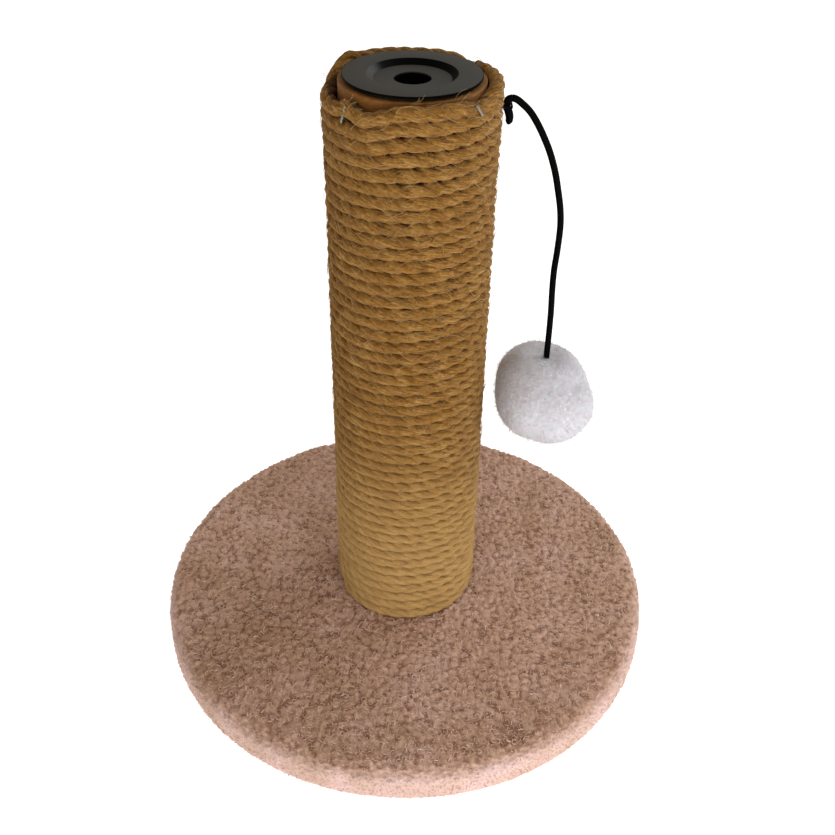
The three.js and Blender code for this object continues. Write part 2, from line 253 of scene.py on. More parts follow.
def fibreboard():
    material, tree, shader = surface("fibreboard", Roughness=0.82, Specular_IOR_Level=0.25)
    place = object_place(tree)
    flecks = grain(tree, place, 900, 4, 0.7)
    clouds = grain(tree, place, 30, 2)
    mixed = maths(tree, "MULTIPLY_ADD", flecks, clouds, 0.12)
    colour_with(tree, shader, ramp(tree, mixed, (0.2, (0.16, 0.095, 0.045)), (0.36, (0.36, 0.235, 0.125)),
                                   (0.55, (0.5, 0.35, 0.2))))
    bumped(tree, shader, flecks, 0.0001, 0.6)
    return material


def zinc_steel():
    material, tree, shader = surface("zinc_steel", Metallic=1.0, Roughness=0.34)
    clouds = grain(tree, object_place(tree), 700, 4)
    colour_with(tree, shader, ramp(tree, clouds, (0.3, (0.14, 0.135, 0.11)), (0.7, (0.32, 0.31, 0.26))))
    bumped(tree, shader, clouds, 0.00003, 0.5)
    return material


def dress(material, *names):
    """Gives CAD nodes their finish."""
    for name in names:
        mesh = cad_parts[name].data
        mesh.materials.clear()
        mesh.materials.append(material)


steel = zinc_steel()
hem_staples = sorted(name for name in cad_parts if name.startswith("hem_staple"))
dress(fibreboard(), "base_board")
dress(steel, "base_bolt", "base_washer", "bottom_plug_nut", *hem_staples)

# ---- Base cover ----------------------------------------------------------------------------
# One piece of curly pink-brown plush pulled over the board, turned under and stapled. Its pile
# has clumped into nubs a few millimetres across on the top and lies finer round the side.
_, cover_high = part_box("base_cover")
cover_radius = cover_high.x
cover_top = cover_high.z
pile_rise = 0.0018  # how far a nub stands over the gaps round it
under_post = 0.033  # the cover's middle is hidden by the post inside this radius
hem_inner = cover_radius - 0.026
top_edge = 0.008  # radii of the rounded edges
low_edge = 0.005
hem_thickness = 0.0024
fine_step = 0.00105
coarse_step = 0.0022
sectors = 4


def profile_point_list():
    """The cover's section from under the post, over the edge and round to the hem, with steps."""
    flat = [(r, cover_top) for r in np.arange(under_post, cover_radius - top_edge, fine_step)]
    edge = [(cover_radius - top_edge + top_edge * math.sin(a), cover_top - top_edge + top_edge * math.cos(a))
            for a in np.arange(0, math.pi / 2, fine_step / top_edge)]
    wall = [(cover_radius, z) for z in np.arange(cover_top - top_edge, low_edge, -fine_step)]
    low = [(cover_radius - low_edge + low_edge * math.cos(a), low_edge - low_edge * math.sin(a))
           for a in np.arange(0, math.pi / 2, 1.3 * fine_step / low_edge)]
    hem = [(r, 0.0) for r in np.arange(cover_radius - low_edge, hem_inner, -coarse_step)] + [(hem_inner, 0.0)]
    inside = [(hem_inner, hem_thickness)]
    return flat, edge + wall + low + hem + inside


def rings_mesh(name, profile, step):
    """A surface of revolution whose rings have points about a step apart, stitched ring to ring."""
    counts = [max(24, int(round(2 * math.pi * r / step / 8)) * 8) for r, _ in profile]
    vertices = []
    starts = []
    for (r, z), count in zip(profile, counts):
        starts.append(len(vertices))
        turn = 2 * np.pi * np.arange(count) / count
        vertices.extend(zip(r * np.cos(turn), r * np.sin(turn), np.full(count, z)))
    faces = []
    for k in range(len(profile) - 1):
        a, b, na, nb = starts[k], starts[k + 1], counts[k], counts[k + 1]
        if na == nb:
            faces.extend((a + i, b + i, b + (i + 1) % nb, a + (i + 1) % na) for i in range(na))
            continue
        i = j = 0
        while i < na or j < nb:
            if j < nb and (i == na or (j + 1) / nb <= (i + 1) / na):
                faces.append((a + i % na, b + j % nb, b + (j + 1) % nb))
                j += 1
            else:
                faces.append((a + i % na, b + j % nb, a + (i + 1) % na))
                i += 1
    return object_of(name, vertices, faces)


def shaping(name, **sizes):
    """A Geometry Nodes tree with one geometry in, named sizes in, and one geometry out."""
    tree = bpy.data.node_groups.new(name, "GeometryNodeTree")
    tree.interface.new_socket("Geometry", in_out="INPUT", socket_type="NodeSocketGeometry")
    tree.interface.new_socket("Geometry", in_out="OUTPUT", socket_type="NodeSocketGeometry")
    for size, value in sizes.items():
        tree.interface.new_socket(size, in_out="INPUT", socket_type="NodeSocketFloat").default_value = value
    return tree, node(tree, "NodeGroupInput").outputs


def ended(tree, geometry, material):
    """Closes a tree with what every tree here ends in."""
    real = node(tree, "GeometryNodeRealizeInstances", {0: geometry})
    finished = node(tree, "GeometryNodeSetMaterial", {0: real.outputs[0], "Material": material})
    node(tree, "NodeGroupOutput", {0: finished.outputs[0]})


def shaped(tree, source, name, keep=False, **sizes):
    """The plain mesh that a tree makes of an object. The source is removed unless it is kept."""
    modifier = source.modifiers.new("shape", "NODES")
    modifier.node_group = tree
    for item in tree.interface.items_tree:
        if item.item_type == "SOCKET" and item.in_out == "INPUT" and item.name in sizes:
            modifier[item.identifier] = sizes[item.name]
    bpy.context.view_layer.update()
    depsgraph = bpy.context.evaluated_depsgraph_get()
    mesh = bpy.data.meshes.new_from_object(source.evaluated_get(depsgraph))
    source.modifiers.remove(modifier)
    mesh.name = name
    mesh.shade_smooth()
    if not keep:
        bpy.data.objects.remove(source)
    made = bpy.data.objects.new(name, mesh)
    scene.collection.objects.link(made)
    return made


def vectors(tree, operation, *values):
    made = node(tree, "ShaderNodeVectorMath", dict(enumerate(values)), operation=operation)
    return made.outputs["Value" if operation in ("LENGTH", "DOT_PRODUCT") else "Vector"]


def scaled(tree, vector, amount):
    return node(tree, "ShaderNodeVectorMath", {0: vector, "Scale": amount}, operation="SCALE").outputs[0]


def mixed_colour(tree, share, first, second):
    feeds = {0: share, "A": first, "B": second}
    return node(tree, "ShaderNodeMix", feeds, data_type="RGBA").outputs["Result"]


def split_up(tree, vector):
    """A vector's three parts."""
    return node(tree, "ShaderNodeSeparateXYZ", {0: vector}).outputs


def put_together(tree, x=0.0, y=0.0, z=0.0):
    return node(tree, "ShaderNodeCombineXYZ", {0: x, 1: y, 2: z}).outputs[0]


def moved_by(tree, geometry, offset):
    return node(tree, "GeometryNodeSetPosition", {0: geometry, "Offset": offset}).outputs[0]


def own_place(tree):
    return node(tree, "GeometryNodeInputPosition").outputs[0]


def level_part(tree, place):
    """A place without its height, so how far it lies from the post's axis."""
    return vectors(tree, "MULTIPLY", place, (1, 1, 0))


def thread_along(tree, curve, radius, sides, capped=False):
    """A thin tube along a curve."""
    section = node(tree, "GeometryNodeCurvePrimitiveCircle", {"Resolution": sides, "Radius": radius})
    feeds = {0: curve, 1: section.outputs[0], "Fill Caps": capped}
    return node(tree, "GeometryNodeCurveToMesh", feeds).outputs[0]


def attribute(tree, name, kind="FLOAT"):
    return node(tree, "GeometryNodeInputNamedAttribute", {"Name": name}, data_type=kind).outputs[0]


def painted(tree, name):
    """The same attribute as a material reads it."""
    return node(tree, "ShaderNodeAttribute", attribute_name=name).outputs["Fac"]


def chance(tree, low, high, seed):
    """A random number for each point or instance."""
    feeds = {2: low, 3: high, "Seed": seed}
    return node(tree, "FunctionNodeRandomValue", feeds, data_type="FLOAT").outputs[1]


def chances(tree, low, high, seed):
    """A random vector for each point or instance."""
    feeds = {0: low, 1: high, "Seed": seed}
    return node(tree, "FunctionNodeRandomValue", feeds, data_type="FLOAT_VECTOR").outputs[0]


def strewn_over(tree, points, thing, rotation, size, **more):
    """Sets a copy of a thing on each point."""
    feeds = {0: points, "Instance": thing, "Rotation": rotation, "Scale": size, **more}
    return node(tree, "GeometryNodeInstanceOnPoints", feeds).outputs[0]


def turned_further(tree, rotation, angles):
    feeds = {0: rotation, 1: angles}
    return node(tree, "FunctionNodeRotateRotation", feeds, rotation_space="LOCAL").outputs[0]


def stored(tree, geometry, name, value, domain="POINT", kind="FLOAT"):
    return node(tree, "GeometryNodeStoreNamedAttribute", {0: geometry, "Name": name, "Value": value},
                data_type=kind, domain=domain).outputs[0]


def eased(tree, value, low, high, start=0.0, end=1.0):
    """A smooth step from one value to another."""
    return node(tree, "ShaderNodeMapRange",
                {"Value": value, "From Min": low, "From Max": high, "To Min": start, "To Max": end},
                interpolation_type="SMOOTHSTEP").outputs[0]


def curly_plush():
    """Warm pink-brown pile, redder and darker in its gaps, partly as painted shade; side painted lighter;
    soft sheen.
    """
    material, tree, shader = surface("curly_plush", Roughness=0.75, Specular_IOR_Level=0.25,
                                     Sheen_Weight=0.2, Sheen_Roughness=0.4)
    shader.inputs["Sheen Tint"].default_value = (1.0, 0.86, 0.78, 1)
    place = object_place(tree)
    patches = grain(tree, place, 34, 3)
    specks = grain(tree, place, 900, 4, 0.7)
    tips = ramp(tree, patches, (0.32, (0.56, 0.352, 0.236)), (0.5, (0.635, 0.412, 0.3)),
                (0.68, (0.69, 0.465, 0.37)))
    # partly painted shade: low in the gaps the pile is darker and redder, partly its own colour, partly the
    # shade there
    roots_and_gap_shade = ramp(tree, patches, (0.3, (0.25, 0.122, 0.07)), (0.7, (0.32, 0.162, 0.108)))
    speckled = maths(tree, "MULTIPLY", maths(tree, "SUBTRACT", specks, 0.5), 0.5)
    depth = maths(tree, "ADD", painted(tree, "nub"), speckled)
    pile = mixed_colour(tree, eased(tree, depth, -0.2, 0.62), roots_and_gap_shade, tips)
    # partly painted highlight: each curl is lighter by a random amount, partly its own tone, partly a painted
    # highlight
    curl_tone_and_highlight = maths(tree, "MULTIPLY", painted(tree, "shade"), 0.8)
    lit = mixed_colour(tree, curl_tone_and_highlight, pile, (0.95, 0.76, 0.66, 1))
    # painted light: the side is painted a lighter, bluer pink than the top, for the low cool light falling on
    # it
    on_side = eased(tree, split_up(tree, place)["Z"], cover_top, cover_top - 0.006)
    side_light_tint = mixed_colour(tree, on_side, (1, 1, 1, 1), (1.06, 1.15, 1.37, 1))
    colour_with(tree, shader, vectors(tree, "MULTIPLY", lit, side_light_tint))
    bumped(tree, shader, specks, 0.0005, 0.8)
    return material


def pile_tree(material):
    """Raises nubs over a cover: clumped cells, each with smaller curls on it."""
    tree, sizes = shaping("pile", Rise=pile_rise, **{"Nub Size": 0.0035, "Front Slack": 0.003})
    place = own_place(tree)
    outward = node(tree, "GeometryNodeInputNormal").outputs[0]
    height = split_up(tree, place)["Z"]
    # 1 on the flat top, 0 down the side and underneath
    on_top = eased(tree, height, cover_top - 0.011, cover_top - 0.001)
    wander = node(tree, "ShaderNodeTexNoise", {"Vector": place, "Scale": 170.0, "Detail": 2.0})
    either_way = vectors(tree, "SUBTRACT", wander.outputs["Color"], (0.5, 0.5, 0.5))
    wandered = vectors(tree, "ADD", place, scaled(tree, either_way, 0.0052))
    nub_size = maths(tree, "MULTIPLY", sizes["Nub Size"], eased(tree, on_top, 0, 1, 0.8, 1.0))
    cells = node(tree, "ShaderNodeTexVoronoi",
                 {"Vector": wandered, "Scale": maths(tree, "DIVIDE", 1.0, nub_size), "Smoothness": 0.25},
                 feature="SMOOTH_F1").outputs["Distance"]
    curls = node(tree, "ShaderNodeTexVoronoi", {"Vector": wandered, "Scale": 950.0}, feature="F1")
    curled = maths(tree, "MULTIPLY", maths(tree, "SUBTRACT", 0.5, curls.outputs["Distance"]), 0.3)
    nub = maths(tree, "ADD", eased(tree, cells, 0.8, 0.1), curled)
    loose = grain(tree, place, 60.0, 2.0, 0.5)
    swell = maths(tree, "MULTIPLY", maths(tree, "SUBTRACT", loose, 0.5), 0.6)
    rise = maths(tree, "MULTIPLY", sizes["Rise"], eased(tree, on_top, 0, 1, 0.5, 1.0))
    raised = maths(tree, "MULTIPLY", rise, maths(tree, "ADD", maths(tree, "SUBTRACT", nub, 1.0), swell))
    # the hem that lies on the floor is pressed flat
    pressed = maths(tree, "MULTIPLY", raised, eased(tree, height, 0.0005, 0.004, 0.12, 1.0))
    # the cover is pulled looser round the front, where its edge stands a little further out
    level = level_part(tree, place)
    out = vectors(tree, "NORMALIZE", level)
    ahead_share = eased(tree, vectors(tree, "DOT_PRODUCT", out, (0, -1, 0)), 0.1, 1.0)
    edge_share = eased(tree, vectors(tree, "LENGTH", level), cover_radius - 0.05, cover_radius)
    slack = maths(tree, "MULTIPLY", maths(tree, "MULTIPLY", ahead_share, edge_share), sizes["Front Slack"])
    offset = vectors(tree, "ADD", scaled(tree, out, slack), scaled(tree, outward, pressed))
    moved = moved_by(tree, sizes["Geometry"], offset)
    # painted light: down the side the pile is moved towards the tips' colour, so the side is painted lighter
    nub_and_side_light = maths(tree, "ADD", nub, maths(tree, "MULTIPLY", maths(tree, "SUBTRACT", 1.0, on_top), 0.8))
    ended(tree, stored(tree, moved, "nub", nub_and_side_light), material)
    return tree


def curl_tree(material, seed):
    """Scatters open rings of fibre over the nubs of one sector of the cover."""
    tree, sizes = shaping("curls", **{"Curl Radius": 0.00112, "Fibre Radius": 0.00026,
                                      "Apart": 0.0022, "Sector": 0.0})
    x, y, z = split_up(tree, own_place(tree))
    turn = maths(tree, "ARCTAN2", y, x)
    sector = maths(tree, "FLOOR", maths(tree, "MULTIPLY_ADD", turn, sectors / (2 * math.pi), sectors / 2))
    in_sector = maths(tree, "COMPARE", sector, sizes["Sector"], 0.1)
    off_floor = maths(tree, "GREATER_THAN", z, 0.0022)
    spread = node(tree, "GeometryNodeDistributePointsOnFaces", {
        0: sizes["Geometry"], "Selection": maths(tree, "MULTIPLY", in_sector, off_floor),
        "Distance Min": sizes["Apart"], "Density Max": 900000.0, "Seed": seed}, distribute_method="POISSON")
    ring = node(tree, "GeometryNodeCurveArc",
                {"Resolution": 6, "Radius": sizes["Curl Radius"], "Sweep Angle": 4.9})
    curl = thread_along(tree, ring.outputs[0], sizes["Fibre Radius"], 4, capped=True)
    lift = scaled(tree, spread.outputs["Normal"], maths(tree, "MULTIPLY", sizes["Curl Radius"], 0.25))
    raised = moved_by(tree, spread.outputs["Points"], lift)
    tipped = turned_further(tree, spread.outputs["Rotation"],
                            chances(tree, (-0.95, -0.95, 0), (0.95, 0.95, 6.28), seed + 1))
    placed = strewn_over(tree, raised, curl, tipped, chance(tree, 0.62, 1.3, seed + 2))
    # how much lighter each curl is painted, partly its own tone, partly a painted highlight
    shades = stored(tree, placed, "shade", chance(tree, -0.2, 0.6, seed + 3), domain="INSTANCE")
    real = node(tree, "GeometryNodeRealizeInstances", {0: shades})
    ended(tree, stored(tree, real.outputs[0], "nub", 1.0), material)
    return tree


plush = curly_plush()
pile = pile_tree(plush)
flat_part, round_part = profile_point_list()
side_start = flat_part[-1]
cover_flat = shaped(pile, rings_mesh("cover_flat_plain", flat_part, fine_step), "cover_top")
cover_round = shaped(pile, rings_mesh("cover_side_plain", [side_start] + round_part, fine_step), "cover_side")
cover_pieces = [cover_flat, cover_round]
top_curls = curl_tree(plush, 3)
side_curls = curl_tree(plush, 7)
finer = {"Curl Radius": 0.00065, "Fibre Radius": 0.00016, "Apart": 0.0019}
for sector in range(sectors):
    for curls, skin, name, curl_sizes in ((top_curls, cover_flat, "cover_top_curls", {}),
                                          (side_curls, cover_round, "cover_side_curls", finer)):
        strewn = shaped(curls, skin, f"{name}_{sector + 1}", keep=True, Sector=float(sector), **curl_sizes)
        cover_pieces.append(strewn)
for piece in cover_pieces:
    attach(piece, "post")
    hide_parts("base_cover")

# ---- Post tube and its end plugs -----------------------------------------------------------
# A wound kraft cardboard tube. A black moulded plug with a wide flange is pressed into each end;
# the top one shows, with its round pocket and the hole for a bolt.
tube_low, tube_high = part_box("post_tube")
_, plug_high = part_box("top_plug")
tube_radius = tube_high.x
tube_wall = 0.004
flange_radius = plug_high.x
flange_thickness = 0.0011
cap_top = plug_high.z
cap_lift = 0.0006  # it stands a little proud of the tube, which leaves a dark line under its flange
skirt_radius = tube_radius - tube_wall - 0.0003
skirt_wall = 0.002
skirt_length = 0.022
pocket_radius = 0.0215
pocket_floor_radius = 0.0185
pocket_depth = 0.0026
web = 0.002
bore_radius = 0.0089
boss_radius = 0.011
boss_length = 0.018
round_steps = 144


def turned(name, profile, steps):
    """A closed surface of revolution of (radius, height) points, run anticlockwise."""
    turn = 2 * np.pi * np.arange(steps) / steps
    vertices = [(r * math.cos(t), r * math.sin(t), z) for r, z in profile for t in turn]
    made = object_of(name, vertices, bands(len(profile), steps, closed=True))
    made.data.set_sharp_from_angle(angle=math.radians(38))
    return made


def eased_corner(point, before, after, radius, steps=3):
    """Points that round one corner of a profile."""
    point, before, after = (np.array(p, float) for p in (point, before, after))
    start = point + radius * (before - point) / np.linalg.norm(before - point)
    end = point + radius * (after - point) / np.linalg.norm(after - point)
    return [tuple((1 - t) ** 2 * start + 2 * t * (1 - t) * point + t * t * end)
            for t in np.linspace(0, 1, steps + 1)]


def softened(profile, radius):
    """A closed profile with each corner rounded."""
    points = []
    for i, point in enumerate(profile):
        points.extend(eased_corner(point, profile[i - 1], profile[(i + 1) % len(profile)], radius))
    return points


def kraft():
    """Brown paper board, its fibres wound round the tube."""
    material, tree, shader = surface("kraft", Roughness=0.72, Specular_IOR_Level=0.3)
    fibres = grain(tree, drawn_out(tree, object_place(tree), (300, 300, 1300)), 1.0, 4, 0.65)
    colour_with(tree, shader, ramp(tree, fibres, (0.25, (0.16, 0.06, 0.008)), (0.55, (0.25, 0.103, 0.017)),
                                   (0.8, (0.35, 0.165, 0.038))))
    bumped(tree, shader, fibres, 0.00006, 0.6)
    return material


def black_moulding():
    """Matte black plastic with a fine spark grain, a few pale scuffs and painted shade on its rim, pocket and
    bore.
    """
    material, tree, shader = surface("black_moulding")
    place = object_place(tree)
    x, y, z = split_up(tree, place)
    across = vectors(tree, "LENGTH", level_part(tree, place))
    spark = grain(tree, place, 2600, 2)
    clouds = grain(tree, place, 90, 4)
    # painted shade: the flange's rim, the bore and the pocket's wall but for one side, near black and low in
    # specular
    soft = 0.0002
    rim = eased(tree, across, flange_radius - 2 * soft, flange_radius - soft)
    past_floor = eased(tree, across, pocket_floor_radius - soft, pocket_floor_radius + soft)
    in_pocket = eased(tree, across, pocket_radius + soft, pocket_radius - soft)
    wall = maths(tree, "MULTIPLY", past_floor, in_pocket)
    shaded_side = eased(tree, maths(tree, "MULTIPLY_ADD", y, 0.7, x), -0.0145, -0.004)
    bore = maths(tree, "MULTIPLY", eased(tree, z, cap_top - 0.0024, cap_top - 0.0028),
                 eased(tree, across, bore_radius + 4 * soft, bore_radius + 2 * soft))
    wall_and_rim = maths(tree, "MAXIMUM", maths(tree, "MULTIPLY", wall, shaded_side), rim)
    painted_shade = maths(tree, "MAXIMUM", wall_and_rim, bore)
    scratched = drawn_out(tree, place, (60, 420, 60), (0, 0, 0.6))
    scuffs = eased(tree, grain(tree, scratched, 1.0, 5, 0.7), 0.66, 0.76)
    plain = ramp(tree, clouds, (0.3, (0.0265, 0.026, 0.0225)), (0.7, (0.038, 0.0375, 0.033)))
    scuffed = mixed_colour(tree, maths(tree, "MULTIPLY", scuffs, 0.3), plain, (0.12, 0.118, 0.11, 1))
    # painted shade: those shaded places are painted near black, and their specular is turned down below
    colour_with(tree, shader, mixed_colour(tree, painted_shade, scuffed, (0.0008, 0.0008, 0.0007, 1)))
    rough = maths(tree, "ADD", 0.5, maths(tree, "MULTIPLY", clouds, 0.2))
    tree.links.new(rough, shader.inputs["Roughness"])
    tree.links.new(maths(tree, "MULTIPLY_ADD", painted_shade, -0.36, 0.4), shader.inputs["Specular IOR Level"])
    bumped(tree, shader, spark, 0.00004, 0.45)
    return material


tube_inner = tube_radius - tube_wall
tube_profile = [(tube_inner, tube_low.z), (tube_radius, tube_low.z), (tube_radius, tube_high.z),
                (tube_inner, tube_high.z)]
tube = turned("cardboard_tube", softened(tube_profile, 0.0005), round_steps)
tube.data.materials.append(kraft())
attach(tube, "post")
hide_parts("post_tube")

cap_profile = [
    (bore_radius, -boss_length), (boss_radius, -boss_length), (boss_radius, -pocket_depth - web),
    (pocket_floor_radius + web, -pocket_depth - web), (pocket_radius + web, -web),
    (skirt_radius - skirt_wall, -web), (skirt_radius - skirt_wall, -skirt_length),
    (skirt_radius, -skirt_length), (skirt_radius, -flange_thickness), (flange_radius, -flange_thickness),
    (flange_radius, 0), (pocket_radius, 0),
    (pocket_floor_radius, -pocket_depth), (bore_radius, -pocket_depth),
]
cap = turned("end_cap", [(r, cap_top + cap_lift + z) for r, z in softened(cap_profile, 0.00025)], round_steps)
moulding = black_moulding()
cap.data.materials.append(moulding)
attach(cap, "post")
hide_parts("top_plug")
dress(moulding, "bottom_plug")

# ---- Rope ----------------------------------------------------------------------------------
# Soft three-strand jute rope, laid on the tube a pair of turns at a time and stapled at its
# ends. The strands run down to the right across each turn, and loose fibres stand off them.
winding_low, winding_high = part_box("rope_winding")
rope_low, rope_top = winding_low.z, winding_high.z
rope_axis_radius = tube_radius + 0.0038
passes = 48  # half turns of the pair, so whole turns of the single rope
pass_height = (rope_top - rope_low) / passes
end_turn = math.radians(200)  # where both ropes start and end, at the back left
strand_radius = 0.00242
strand_offset = 0.00136
lay_length = 0.0255
rope_step = 0.0013
jog_passes = 5  # how many half turns at each end lie level and climb in one place
top_spread = 0.0007  # the last few turns stand a little further out
front_end_taper = 0.018
back_end_taper = 0.015
back_end_drop = 0.0062


def smooth(t):
    t = np.clip(t, 0, 1)
    return t * t * (3 - 2 * t)


def rope_line(start_turn, first, last, starts_in_front, taper):
    """Points on a rope's axis between two of its half turns, how far along each is, and its girth."""
    per_half = round(math.pi * rope_axis_radius / rope_step)
    at = np.arange(round(first * per_half), round(last * per_half) + 1) / per_half
    index = np.minimum(np.floor(at), passes - 1)
    share = at - index
    in_front = (index % 2 == 0) == starts_in_front
    # near the foot a turn lies level and climbs late, and near the top it climbs early
    late = np.clip(1 - index / jog_passes, 0, 1)
    early = np.clip(1 - (passes - 1 - index) / jog_passes, 0, 1)
    climb_early = np.where(in_front, smooth((share - 0.2) / 0.18), smooth(share / 0.26))
    climb = (1 - late - early) * share + late * smooth((share - 0.6) / 0.4) + early * climb_early
    step_up = 1 - 1 / passes
    level = index + 0.5 - index / passes + step_up * climb
    turn = start_turn + math.pi * at
    x, y = np.cos(turn), np.sin(turn)
    waves = ((3, 0.9), (5, -1.7), (2, 2.3))
    rough = sum(np.sin(count * turn + drift * level) for count, drift in waves) / 3
    sway = (np.sin(4 * turn + 0.21 * level) + np.sin(2 * turn - 0.17 * level + 2)) / 2
    radius = rope_axis_radius + 0.00022 * rough + top_spread * smooth((at - passes + 9) / 8)
    height = rope_low + pass_height * level + 0.00028 * sway
    # the last turn: in front it humps over the left staple and sags under the right one,
    # behind it rides up to a tuft and then drops to its end
    azimuth = np.degrees(np.arctan2(y, x))
    hump = 0.003 * np.exp(-((azimuth + 138) / 9) ** 2)
    sag = -0.001 * smooth((azimuth + 115) / 20) * (1 - smooth((azimuth + 90) / 40))
    pinched = np.exp(-((azimuth + 37) / 17) ** 2)
    along = at * math.pi * rope_axis_radius
    to_end = along[-1] - along if last > passes - 1 else np.full(len(at), 1.0)
    tuft = 0.0019 * np.exp(-((azimuth - 140) / 4.5) ** 2)
    ride_up = 0.0009 * smooth((share - 0.3) * 4) + tuft - back_end_drop * (1 - smooth(to_end / 0.021))
    last_in_front = (index == passes - 1) * in_front
    radius -= 0.0011 * last_in_front * pinched
    height += last_in_front * (hump + sag - 0.0036 * pinched) + (index == passes - 1) * ~in_front * ride_up
    girth = 0.3 + 0.7 * smooth(to_end / taper + 0.05)
    return np.stack([radius * x, radius * y, height], 1), along, girth


def line_object(name, points, along, girth):
    """Points joined by edges, each with how far along the rope it is and its girth."""
    mesh = bpy.data.meshes.new(name)
    mesh.from_pydata([tuple(p) for p in points], [(i, i + 1) for i in range(len(points) - 1)], [])
    mesh.attributes.new("run", "FLOAT", "POINT").data.foreach_set("value", along.astype(np.float32))
    mesh.attributes.new("girth", "FLOAT", "POINT").data.foreach_set("value", girth.astype(np.float32))
    made = bpy.data.objects.new(name, mesh)
    scene.collection.objects.link(made)
    return made


def jute():
    """Golden-brown bast fibre: fine streaks along the strands, with painted shade down between the turns."""
    material, tree, shader = surface("jute", Roughness=0.85, Specular_IOR_Level=0.12,
                                     Sheen_Weight=0.08, Sheen_Roughness=0.5)
    shader.inputs["Sheen Tint"].default_value = (1.0, 0.87, 0.66, 1)
    place = object_place(tree)
    around = split_up(tree, node(tree, "ShaderNodeAttribute", attribute_name="around").outputs["Vector"])
    streak_place = put_together(tree, maths(tree, "MULTIPLY", painted(tree, "run"), 190),
                                maths(tree, "MULTIPLY", around["X"], 3.2),
                                maths(tree, "MULTIPLY", around["Y"], 3.2))
    streaks = grain(tree, streak_place, 1.0, 4, 0.7)
    patches = grain(tree, place, 75, 3)
    felt = grain(tree, place, 560, 3, 0.7)
    spread = maths(tree, "MULTIPLY_ADD", felt, 0.27, maths(tree, "MULTIPLY", patches, 0.18))
    spread = maths(tree, "MULTIPLY_ADD", streaks, 0.55, spread)
    fibre = ramp(tree, spread, (0.36, (0.1, 0.038, 0.005)), (0.46, (0.22, 0.1, 0.017)),
                 (0.54, (0.305, 0.155, 0.034)), (0.64, (0.5, 0.31, 0.115)))
    # painted shade: the rope is painted dark where its open share is low, down between turns and strands
    uneven = maths(tree, "SUBTRACT", grain(tree, place, 330, 3, 0.6), 0.5)
    in_the_open = maths(tree, "MULTIPLY_ADD", uneven, 1.1, painted(tree, "open"))
    shaded = mixed_colour(tree, eased(tree, in_the_open, 0.05, 0.62), (0.085, 0.034, 0.007, 1), fibre)
    hairy = mixed_colour(tree, painted(tree, "pale"), shaded, (0.62, 0.43, 0.2, 1))
    # painted light: the rope is painted lighter towards its foot, where the low light and the bounce from the
    # base fall
    foot = eased(tree, split_up(tree, place)["Z"], 0.19, rope_low, 0.0, 0.42)
    colour_with(tree, shader, mixed_colour(tree, foot, hairy, (0.86, 0.58, 0.24, 1)))
    bumped(tree, shader, spread, 0.0016)
    return material


def rope_tree(material):
    """Twists three strands round a line and gives each a rough skin."""
    tree, sizes = shaping("rope", **{"Strand Radius": strand_radius, "Strand Offset": strand_offset,
                                     "Lay": lay_length, "Skin": 0.0009})
    place = own_place(tree)
    curve = node(tree, "GeometryNodeMeshToCurve", {0: sizes["Geometry"]}).outputs[0]
    line = stored(tree, curve, "axis", place, kind="FLOAT_VECTOR")
    out = vectors(tree, "NORMALIZE", level_part(tree, place))
    girth = attribute(tree, "girth")
    uneven = grain(tree, place, 45.0, 1.0, 0.5)
    circle = node(tree, "GeometryNodeCurvePrimitiveCircle",
                  {"Resolution": 10, "Radius": sizes["Strand Radius"]})
    share_round = node(tree, "GeometryNodeSplineParameter").outputs["Factor"]
    corner_turn = maths(tree, "MULTIPLY", share_round, 2 * math.pi)
    corner_side = put_together(tree, maths(tree, "COSINE", corner_turn), maths(tree, "SINE", corner_turn))
    section = stored(tree, circle.outputs[0], "around", corner_side, kind="FLOAT_VECTOR")
    strands = node(tree, "GeometryNodeJoinGeometry")
    lays = maths(tree, "DIVIDE", attribute(tree, "run"), sizes["Lay"])
    lay_turn = maths(tree, "MULTIPLY", lays, -2 * math.pi)
    reach = maths(tree, "MULTIPLY", sizes["Strand Offset"], girth)
    for k in range(3):
        angle = maths(tree, "ADD", lay_turn, maths(tree, "MULTIPLY_ADD", uneven, 2.4, 2 * math.pi * k / 3))
        outward = scaled(tree, out, maths(tree, "MULTIPLY", maths(tree, "COSINE", angle), reach))
        upward = put_together(tree, z=maths(tree, "MULTIPLY", maths(tree, "SINE", angle), reach))
        strand = moved_by(tree, line, vectors(tree, "ADD", outward, upward))
        thick = node(tree, "ShaderNodeTexNoise", {"Vector": place, "Scale": 90.0, "W": 3.0 * k},
                     noise_dimensions="4D").outputs[0]
        swelling = maths(tree, "MULTIPLY", eased(tree, thick, 0.25, 0.75, 0.86, 1.14), girth)
        swollen = node(tree, "GeometryNodeSetCurveRadius", {0: strand, "Radius": swelling})
        skin = node(tree, "GeometryNodeCurveToMesh", {0: swollen.outputs[0], 1: section, "Fill Caps": True})
        tree.links.new(skin.outputs[0], strands.inputs[0])
    fine = maths(tree, "SUBTRACT", grain(tree, place, 360.0, 3.0, 0.5), 0.5)
    outwards = node(tree, "GeometryNodeInputNormal").outputs[0]
    skin_lift = scaled(tree, outwards, maths(tree, "MULTIPLY", fine, sizes["Skin"]))
    rough = moved_by(tree, strands.outputs[0], skin_lift)
    # 1 on the open face of a strand, falling to 0 down in the gaps between turns and between strands;
    # the jute paints shade where it is low
    stands_off = maths(tree, "SUBTRACT", vectors(tree, "LENGTH", level_part(tree, place)), rope_axis_radius)
    between_turns = maths(tree, "MAXIMUM", eased(tree, stands_off, 0.0004, 0.0022),
                          eased(tree, split_up(tree, place)["Z"], rope_top - 0.0045, rope_top - 0.002))
    off_line = vectors(tree, "SUBTRACT", place, attribute(tree, "axis", "FLOAT_VECTOR"))
    from_axis = vectors(tree, "LENGTH", off_line)
    between_strands = eased(tree, from_axis, 0.0025, 0.0033, 0.05, 1.0)
    share = maths(tree, "MULTIPLY", between_turns, between_strands)
    ended(tree, stored(tree, rough, "open", share), material)
    return tree


